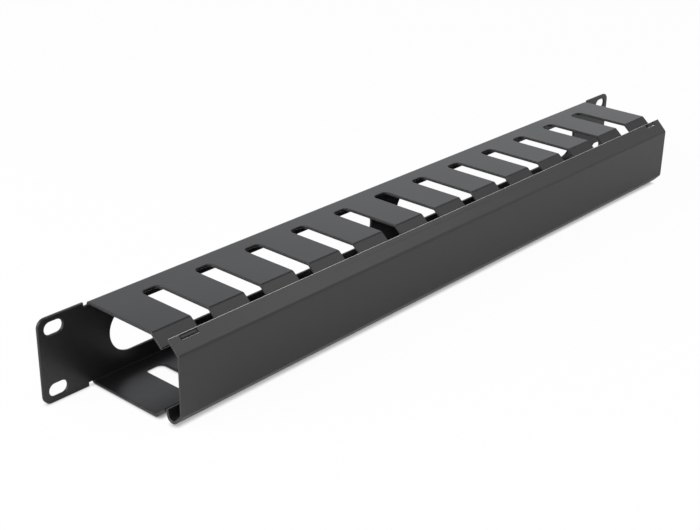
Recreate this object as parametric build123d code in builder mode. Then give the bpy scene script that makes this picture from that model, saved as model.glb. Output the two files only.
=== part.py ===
import os
from math import cos, radians, sin, tan

from build123d import *

# Horizontal cable manager: a slotted duct with rack ears folded from one sheet, and a clip-on front cover
# X runs along the length, Y = 0 is the rear mounting face with the front at -Y, Z = 0 is half height

os.makedirs("parts", exist_ok=True)

# Rack panel outline and mounting slots
panel_width = 482.6
panel_height = 44.0
ear_width = 28.6
ear_corner_radius = 4.5
mounting_edge_distance = 8.75
mounting_pitch_z = 31.75
mounting_slot_length = 10.5
mounting_slot_height = 6.7

# Sheet and folds
sheet = 1.5
fold_radius = 0.2
edge_break = 0.25

# Channel behind the cover
channel_inset = 0.25
lip_fold_depth = 45.95
lip_angle = 40.5
lip_length = 8.5

# Notches that separate the ears from the flanges
notch_width = 2.6
notch_past_fold = 0.05

# Finger slots through both flanges and lips
slot_count = 12
slot_width = 10.9
slot_floor_depth = 10.6
slot_corner_radius = 3.2
end_finger_width = 23.2

# Cable holes through the back
back_hole_height = 24.2
back_hole_margin = 11.4
back_web_width = 22.6

# Hanging tabs on the end fingers
tab_end_distance = 10.55
tab_width = 8.4
tab_fold_distance = 8.55
tab_stand_out = 0.2
tab_notch_width = 0.7
tab_notch_length = 2.4

# Front cover
cover_end_inset = 0.15
cover_stand_off = 17.3
cover_top_fold_drop = 5.65
cover_bottom_fold_drop = 6.15
cover_top_slope = 44.5
cover_bottom_slope = 47.3
cover_fold_radius = 1.25
hook_fold_radius = 2.2
tab_edge_distance = 1.52
cover_slot_length = 10.3
cover_slot_height = 2.15
cover_slot_corner = 0.4
tab_play = 0.15
hook_lean = 9.0
hook_end_drop = 6.4
hook_clearance = 0.3

# Channel and ears
half_sheet = sheet / 2
length_match = sheet / 100
middle_fold_radius = fold_radius + half_sheet
middle_cover_radius = cover_fold_radius + half_sheet
middle_hook_radius = hook_fold_radius + half_sheet
channel_half_length = panel_width / 2 - ear_width
channel_length = 2 * channel_half_length
flange_z = panel_height / 2 - channel_inset - half_sheet
lip_cos = cos(radians(lip_angle))
lip_sin = sin(radians(lip_angle))
lip_tip_depth = lip_fold_depth + lip_length * lip_cos
lip_tip_z = flange_z - lip_length * lip_sin
notched_half_height = flange_z - middle_fold_radius - notch_past_fold
notched_length = channel_length + 2 * notch_width
mounting_pitch_x = panel_width - 2 * mounting_edge_distance

# Slots and cable holes
slot_pitch = (channel_length - 2 * end_finger_width - slot_width) / (slot_count - 1)
slot_run = lip_tip_depth + 2 * slot_corner_radius - slot_floor_depth
slot_centre_y = -slot_floor_depth - slot_run / 2
back_hole_length = channel_half_length - back_hole_margin - back_web_width / 2
back_hole_centre_x = (back_web_width + back_hole_length) / 2

# Cover folds, with the upper slope square to the tabs
cover_face_depth = lip_fold_depth + cover_stand_off
cover_top_fold_z = flange_z - cover_top_fold_drop
cover_bottom_fold_z = cover_bottom_fold_drop - flange_z
slope_cos = cos(radians(cover_top_slope))
slope_sin = sin(radians(cover_top_slope))

# Tab fold line, and where the tab crosses the cover
tab_centre_x = channel_half_length - tab_end_distance
tab_fold_depth = lip_fold_depth + tab_fold_distance * lip_cos
tab_fold_z = flange_z - tab_fold_distance * lip_sin
tab_gap = cover_face_depth - tab_fold_depth
tab_rise = tab_fold_z - cover_top_fold_z
tab_crossing = tab_gap * slope_cos + tab_rise * slope_sin
tab_length = tab_gap * slope_sin - tab_rise * slope_cos + half_sheet + tab_stand_out
tab_tip_y = -tab_fold_depth - tab_length * slope_sin
tab_tip_z = tab_fold_z + tab_length * slope_cos
cover_top_length = tab_crossing + tab_edge_distance
cover_slot_offset = tab_crossing + half_sheet + tab_play - cover_slot_height / 2
cover_slot_centre_x = tab_centre_x + tab_width / 2 + tab_play - cover_slot_length / 2

# Hook that stands just in front of the lower fingertips
lean_tan = tan(radians(hook_lean))
fingertip_depth = lip_tip_depth + half_sheet * lip_sin
fingertip_z = -lip_tip_z - half_sheet * lip_cos
hook_depth = fingertip_depth + hook_clearance + half_sheet / cos(radians(hook_lean))
hook_drop = cos(radians(cover_bottom_slope)) + sin(radians(cover_bottom_slope)) * lean_tan
cover_bottom_length = (cover_face_depth - hook_depth + (cover_bottom_fold_z - fingertip_z) * lean_tan) / hook_drop
hook_fold_y = -cover_face_depth + cover_bottom_length * cos(radians(cover_bottom_slope))
hook_fold_z = cover_bottom_fold_z - cover_bottom_length * sin(radians(cover_bottom_slope))
hook_end_z = hook_end_drop - flange_z
hook_end_y = hook_fold_y + (hook_end_z - hook_fold_z) * lean_tan

# Planes that lie in the upper lip and in the upper slope of the cover
lip_plane = Plane(origin=(0, -lip_fold_depth, flange_z), x_dir=(1, 0, 0), z_dir=(0, -lip_sin, lip_cos))
slope_plane = Plane(
    origin=(0, -cover_face_depth, cover_top_fold_z),
    x_dir=(1, 0, 0),
    z_dir=(0, -slope_sin, slope_cos),
)

with BuildPart() as duct_body:
    # Back, two flanges and two lips folded from one strip
    with BuildSketch(Plane.YZ) as channel_section:
        with BuildLine() as channel_middle_line:
            FilletPolyline(
                (-lip_tip_depth, lip_tip_z),
                (-lip_fold_depth, flange_z),
                (-half_sheet, flange_z),
                (-half_sheet, -flange_z),
                (-lip_fold_depth, -flange_z),
                (-lip_tip_depth, -lip_tip_z),
                radius=middle_fold_radius,
            )
        trace(line_width=sheet)
    extrude(amount=channel_half_length, both=True)

    # Ears in the plane of the back, joined to it between the notches
    with BuildSketch(Plane.XZ) as ear_outline:
        RectangleRounded(panel_width, panel_height, ear_corner_radius)
        Rectangle(notched_length, panel_height, mode=Mode.SUBTRACT)
        Rectangle(notched_length, 2 * notched_half_height)
    extrude(amount=sheet)

    # Mounting slots at the four corners
    with BuildSketch(Plane.XZ) as mounting_slots:
        with GridLocations(mounting_pitch_x, mounting_pitch_z, 2, 2):
            SlotOverall(mounting_slot_length, mounting_slot_height)
    extrude(amount=sheet, mode=Mode.SUBTRACT)

    # Two long cable holes through the back
    with BuildSketch(Plane.XZ) as back_holes:
        with Locations((back_hole_centre_x, 0), (-back_hole_centre_x, 0)):
            SlotOverall(back_hole_length, back_hole_height)
    extrude(amount=sheet, mode=Mode.SUBTRACT)

    # Finger slots, open at the lips and round-cornered near the back
    with BuildSketch(Plane.XY) as finger_slots:
        with Locations((0, slot_centre_y)):
            with GridLocations(slot_pitch, slot_run, slot_count, 1):
                RectangleRounded(slot_width, slot_run, slot_corner_radius)
    extrude(amount=panel_height / 2, both=True, mode=Mode.SUBTRACT)

    # Notches that let the tabs fold up from the upper lip of the end fingers
    with BuildSketch(lip_plane) as tab_notches:
        with Locations((tab_centre_x, -lip_length), (-tab_centre_x, -lip_length)):
            Rectangle(
                tab_width + 2 * tab_notch_width,
                2 * (lip_length - tab_fold_distance + tab_notch_length),
            )
    extrude(amount=sheet, both=True, mode=Mode.SUBTRACT)

    # Tabs that reach up through the cover
    with BuildSketch(Plane.YZ.offset(tab_centre_x), Plane.YZ.offset(-tab_centre_x)) as tab_section:
        with BuildLine() as tab_middle_line:
            FilletPolyline(
                (-lip_fold_depth - middle_fold_radius * lip_cos, flange_z - middle_fold_radius * lip_sin),
                (-tab_fold_depth, tab_fold_z),
                (tab_tip_y, tab_tip_z),
                radius=middle_fold_radius,
            )
        trace(line_width=sheet)
    extrude(amount=tab_width / 2, both=True)

    # Broken edges all round the cut sides of the sheet
    cut_sides = faces().filter_by(
        lambda face: any(abs(edge.length - sheet) < length_match for edge in face.edges())
    )
    rims = cut_sides.edges().filter_by(lambda edge: abs(edge.length - sheet) > length_match)
    chamfer(rims, length=edge_break)

duct_body.part.label = "duct_body"
export_step(duct_body.part, "parts/duct_body.step")

with BuildPart() as front_cover:
    # Upper slope, face, lower slope and hook folded from one strip
    with BuildSketch(Plane.YZ) as cover_section:
        with BuildLine() as cover_middle_line:
            FilletPolyline(
                (-cover_face_depth + cover_top_length * slope_cos, cover_top_fold_z + cover_top_length * slope_sin),
                (-cover_face_depth, cover_top_fold_z),
                (-cover_face_depth, cover_bottom_fold_z),
                (hook_fold_y, hook_fold_z),
                (hook_end_y, hook_end_z),
                radius=(middle_cover_radius, middle_cover_radius, middle_hook_radius),
            )
        trace(line_width=sheet)
    extrude(amount=channel_half_length - cover_end_inset, both=True)

    # Slots that hang on the tabs
    with BuildSketch(slope_plane) as cover_slots:
        with Locations((cover_slot_centre_x, cover_slot_offset), (-cover_slot_centre_x, cover_slot_offset)):
            RectangleRounded(cover_slot_length, cover_slot_height, cover_slot_corner)
    extrude(amount=sheet, both=True, mode=Mode.SUBTRACT)

    # Broken edges all round the cut sides of the sheet
    cut_sides = faces().filter_by(
        lambda face: any(abs(edge.length - sheet) < length_match for edge in face.edges())
    )
    rims = cut_sides.edges().filter_by(lambda edge: abs(edge.length - sheet) > length_match)
    chamfer(rims, length=edge_break)

front_cover.part.label = "front_cover"
export_step(front_cover.part, "parts/front_cover.step")
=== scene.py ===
import math

import bpy
from mathutils import Matrix, Vector


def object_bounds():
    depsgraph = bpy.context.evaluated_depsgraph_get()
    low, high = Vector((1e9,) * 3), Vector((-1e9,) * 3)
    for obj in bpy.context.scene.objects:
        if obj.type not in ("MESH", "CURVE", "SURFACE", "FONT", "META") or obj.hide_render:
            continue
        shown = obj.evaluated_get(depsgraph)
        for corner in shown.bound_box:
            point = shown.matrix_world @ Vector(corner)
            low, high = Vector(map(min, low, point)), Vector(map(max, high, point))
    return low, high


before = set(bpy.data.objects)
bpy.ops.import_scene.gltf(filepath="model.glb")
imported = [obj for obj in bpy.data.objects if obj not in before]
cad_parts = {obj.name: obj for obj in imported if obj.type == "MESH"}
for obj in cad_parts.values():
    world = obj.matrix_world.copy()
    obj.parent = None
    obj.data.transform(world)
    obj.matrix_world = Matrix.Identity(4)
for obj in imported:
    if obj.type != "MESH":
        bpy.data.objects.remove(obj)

cad_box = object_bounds()


# Duct body
# One sheet of 1.5 mm steel, cut and then folded into back, flanges, lips, ears and hanging tabs.
# Satin black powder is baked on after the folding. It lies thinner along every cut edge, and the cut faces
# and edges are painted paler: partly that thinner coat, partly a painted highlight for the light they
# catch.
class Socket:
    """One output of a finish's nodes. Sums, differences and products of sockets add Math nodes."""

    def __init__(self, tree, out=None):
        self.tree = tree
        self.out = out

    def node(self, kind, settings, inputs, output=0):
        """Adds a node, sets it up, and gives its sockets their values or links."""
        made = self.tree.nodes.new("ShaderNode" + kind)
        for name, value in settings.items():
            if name == "stops":
                stops = made.color_ramp.elements
                while len(stops) < len(value):
                    stops.new(0.5)
                for stop, (position, shade) in zip(stops, value):
                    stop.position = position
                    stop.color = (shade, shade, shade, 1.0)
            else:
                setattr(made, name, value)
        for name, value in inputs.items():
            if isinstance(value, Socket):
                self.tree.links.new(value.out, made.inputs[name])
            else:
                made.inputs[name].default_value = value
        return Socket(self.tree, made.outputs[output]) if made.outputs else None

    def maths(self, operation, first, second):
        return self.node("Math", {"operation": operation}, {0: first, 1: second})

    def __add__(self, other):
        return self.maths("ADD", self, other)

    def __radd__(self, other):
        return self.maths("ADD", other, self)

    def __sub__(self, other):
        return self.maths("SUBTRACT", self, other)

    def __rsub__(self, other):
        return self.maths("SUBTRACT", other, self)

    def __mul__(self, other):
        return self.maths("MULTIPLY", self, other)

    def __rmul__(self, other):
        return self.maths("MULTIPLY", other, self)

    def clamp(self):
        return self.node("Clamp", {}, {"Value": self})

    def between(self, low, high):
        """0 below low, 1 above high, and a smooth step from one to the other."""
        return self.node(
            "MapRange",
            {"interpolation_type": "SMOOTHSTEP"},
            {"Value": self, "From Min": low, "From Max": high},
        )

    def part(self, axis):
        """The part of a direction or place along X (0), Y (1) or Z (2)."""
        return self.node("SeparateXYZ", {}, {0: self}, axis)

    def mix(self, first, second):
        """A colour that goes from first to second as this value goes from 0 to 1."""
        return self.node("Mix", {"data_type": "RGBA"}, {0: self, 6: first, 7: second}, 2)


def empty_material(name):
    material = bpy.data.materials.new(name)
    material.use_nodes = True
    material.node_tree.nodes.clear()
    return material


def opaque(colour, shade=1.0):
    return (*(shade * part for part in colour), 1.0)


def powder_coat(name, coat_colour, edge_and_highlight_colour, gloss_index, rim=None):
    """Baked satin powder: fine orange peel, faint clouds from spraying, and cut faces and edges painted
    paler, partly a thinner coat and partly a painted highlight.
    """
    satin_roughness = 0.34
    extra_cut_roughness = 0.50
    dark_speckle = 0.80
    pale_speckle = 1.22
    edge_rounding = 0.0006
    bump_height = 0.0001

    material = empty_material(name)
    start = Socket(material.node_tree)
    place = start.node("TexCoord", {}, {}, "Object")

    def pattern(lumps_per_metre, detail, raggedness):
        """Noise about zero."""
        noise = start.node(
            "TexNoise",
            {},
            {"Vector": place, "Scale": lumps_per_metre, "Detail": detail, "Roughness": raggedness},
            "Fac",
        )
        return noise - 0.5

    clouds = pattern(22.0, 3.0, 0.55)
    peel = pattern(560.0, 2.0, 0.5)
    grain = pattern(2400.0, 2.0, 0.65)

    # The sheet is folded about lines that run along X, so only its cut ends and slot walls face along X
    facing = start.node("NewGeometry", {}, {}, "True Normal")
    sideways = facing.part(0)
    cut = (sideways * sideways).between(0.55, 0.92)

    # Powder draws back from a sharp edge as it melts and rounds it; the rounded edge is also painted a
    # little paler, partly a thinner coat and partly a painted highlight
    rounded = start.node("Bevel", {"samples": 8}, {"Radius": edge_rounding}, "Normal")
    agreement = start.node("VectorMath", {"operation": "DOT_PRODUCT"}, {0: rounded, 1: facing}, "Value")
    edge_highlight_mask = (1.0 - agreement).between(0.01, 0.20)
    # Cut faces and rounded edges are painted paler: partly the thinner coat there, partly a painted
    # highlight for the light they catch.
    thin_coat_and_highlight = cut * (0.02 + 0.03 * clouds + 0.04 * grain) + 0.03 * edge_highlight_mask
    # On the cover, a painted highlight is added along the upper rim.
    if rim:
        thin_coat_and_highlight = thin_coat_and_highlight + rim(facing, place)

    speckle = (0.5 + 0.55 * clouds + 0.9 * grain).clamp()
    coat = speckle.mix(opaque(coat_colour, dark_speckle), opaque(coat_colour, pale_speckle))
    colour = thin_coat_and_highlight.clamp().mix(coat, opaque(edge_and_highlight_colour))
    roughness = (satin_roughness + 0.08 * clouds + 0.08 * grain + extra_cut_roughness * cut).clamp()
    bumps = 0.7 * peel + 0.3 * grain
    relief = start.node(
        "Bump",
        {},
        {"Strength": 0.22, "Distance": bump_height, "Height": bumps, "Normal": rounded},
    )
    shader = start.node(
        "BsdfPrincipled",
        {},
        {"Base Color": colour, "Roughness": roughness, "Normal": relief, "IOR": gloss_index},
    )
    start.node("OutputMaterial", {}, {"Surface": shader})
    return material


duct_coat = powder_coat(
    "duct_powder_coat",
    coat_colour=(0.0100, 0.0102, 0.0107),
    edge_and_highlight_colour=(0.48, 0.48, 0.49),
    gloss_index=1.5,
)
duct_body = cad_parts["duct_body"]
for slot in duct_body.material_slots:
    slot.material = duct_coat


# Front cover
# A second sheet of the same steel, folded to an upper slope, a flat face, a lower slope and a hook.
# It hangs by two slots on the duct's tabs. Its upper rim is painted pale, a painted highlight along the
# top edge.
def upper_rim_highlight(facing, place):
    """Painted highlight on the broken edge along the top of the cover, the only face of it up there that
    looks straight up.
    """
    return facing.part(2).between(0.85, 0.97) * place.part(2).between(0.012, 0.016)


cover_coat = powder_coat(
    "cover_powder_coat",
    coat_colour=(0.0104, 0.0102, 0.0100),
    edge_and_highlight_colour=(0.49, 0.49, 0.49),
    gloss_index=1.56,
    rim=upper_rim_highlight,
)
front_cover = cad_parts["front_cover"]
for slot in front_cover.material_slots:
    slot.material = cover_coat


# Table and backdrop
# White paper lies under the duct, in a studio with light walls and a dark ceiling.
# To the camera both are plain white, and the paper keeps a narrow shadow where the duct stands on it.
def white_share(start, direct):
    """How much plain white a ray sees: direct for a ray that comes straight or through a clear piece."""
    in_reflections = 0.1
    camera_ray = start.node("LightPath", {}, {}, "Is Camera Ray")
    glossy_ray = start.node("LightPath", {}, {}, "Is Glossy Ray")
    clear_ray = start.node("LightPath", {}, {}, "Is Transmission Ray")
    return (direct * camera_ray + in_reflections * glossy_ray + direct * clear_ray).clamp()


floor_z = cad_box[0][2]
table_reach = 6.0
table_mesh = bpy.data.meshes.new("table")
table_mesh.from_pydata(
    [(x * table_reach, y * table_reach, floor_z) for x, y in ((-1, -1), (1, -1), (1, 1), (-1, 1))],
    [],
    [(0, 1, 2, 3)],
)
table = bpy.data.objects.new("table", table_mesh)
bpy.context.scene.collection.objects.link(table)

shadow_reach = 0.0028
shadow_shades = ((0.1, 0.15), (0.45, 0.6), (0.85, 1.0))
paper = empty_material("white_paper")
start = Socket(paper.node_tree)
openness = start.node("AmbientOcclusion", {"samples": 8}, {"Distance": shadow_reach}, "AO")
contact = start.node("ValToRGB", {"stops": shadow_shades}, {0: openness})
paper_lit = start.node("BsdfDiffuse", {}, {"Color": (0.9, 0.9, 0.9, 1.0)})
paper_white = start.node("Emission", {}, {"Color": contact, "Strength": 1.0})
paper_seen = start.node("MixShader", {}, {0: white_share(start, 0.96), 1: paper_lit, 2: paper_white})
start.node("OutputMaterial", {}, {"Surface": paper_seen})
table_mesh.materials.append(paper)

world = bpy.data.worlds.new("studio")
bpy.context.scene.world = world
world.use_nodes = True
world.node_tree.nodes.clear()
start = Socket(world.node_tree)
heading = start.node("TexCoord", {}, {}, "Generated")
across, depth, height = (heading.part(axis) for axis in range(3))
behind = depth.between(-0.15, 0.35)
ahead = 1.0 - depth.between(-0.32, -0.05)
raised = height.between(0.05, 0.30)
above = height.between(0.50, 0.72)
backdrop_light = 0.97 * behind * (1.0 - above)
front_light = 0.37 + 0.80 * across.between(0.60, 0.76) - 0.50 * across.between(0.78, 0.90)
low_front_light = 1.05 * (1.0 - 0.8 * across.between(0.65, 0.90))
ceiling_light = 0.10 * above * (1.0 - ahead)
bright = (
    backdrop_light
    + raised * ahead * front_light
    + (1.0 - raised) * (1.0 - behind) * low_front_light
    + ceiling_light
)
tint = behind.mix((1.0, 1.0, 0.99, 1.0), (0.97, 0.995, 1.04, 1.0))
studio = start.node("Background", {}, {"Color": tint, "Strength": bright})
white = start.node("Background", {}, {"Color": (1.0, 1.0, 1.0, 1.0), "Strength": 1.0})
studio_seen = start.node("MixShader", {}, {0: white_share(start, 1.0), 1: studio, 2: white})
start.node("OutputWorld", {}, {"Surface": studio_seen})


# Studio lamps
# A large soft box behind on the left lights the cut ends. Two smaller ones in front, low on the left and
# high on the right, light the paper that the flat face of the cover mirrors.
def soft_box(name, place, aim, side, watts, tint):
    lamp = bpy.data.lights.new(name, "AREA")
    lamp.shape = "SQUARE"
    lamp.size = side
    lamp.energy = watts
    lamp.color = tint
    box = bpy.data.objects.new(name, lamp)
    box.location = place
    box.rotation_euler = (Vector(aim) - Vector(place)).to_track_quat("-Z", "Y").to_euler()
    bpy.context.scene.collection.objects.link(box)


soft_box(
    "soft_box_left",
    place=(-1.4, 0.4, 0.75),
    aim=(-0.1, -0.03, 0.0),
    side=1.0,
    watts=21.0,
    tint=(1.0, 1.0, 1.0),
)
soft_box(
    "soft_box_front_left",
    place=(-0.75, -0.75, 0.6),
    aim=(-0.15, -0.1, 0.0),
    side=0.7,
    watts=3.9,
    tint=(1.0, 1.0, 0.99),
)
soft_box(
    "soft_box_front_right",
    place=(0.65, -0.68, 1.1),
    aim=(0.0, -0.06, 0.0),
    side=0.8,
    watts=2.6,
    tint=(1.0, 1.0, 0.99),
)


# Camera
# It stands 0.76 m away to the left in front and looks down along the duct, as in the photograph.
# Its place, turn and lens were fitted to the corners and mounting slots of the panel in the photograph.
camera_place = Vector((-0.537407, -0.445628, 0.289044))
turn = math.radians(48.833)
tilt = math.radians(24.654)
roll = math.radians(1.008)
forward = Vector((math.sin(turn) * math.cos(tilt), math.cos(turn) * math.cos(tilt), -math.sin(tilt)))
right = Vector((math.cos(turn), -math.sin(turn), 0.0))
up = right.cross(forward)
side = math.cos(roll) * right + math.sin(roll) * up
head = math.cos(roll) * up - math.sin(roll) * right
camera = bpy.data.objects.new("camera", bpy.data.cameras.new("camera"))
bpy.context.scene.collection.objects.link(camera)
camera.matrix_world = (
    Matrix.Translation(camera_place) @ Matrix((side, head, -forward)).transposed().to_4x4()
)
camera.data.sensor_width = 36.0
camera.data.lens = 66.813
camera.data.clip_start = 0.01
camera.data.clip_end = 50.0
bpy.context.scene.camera = camera

bpy.context.scene.view_settings.view_transform = "Standard"
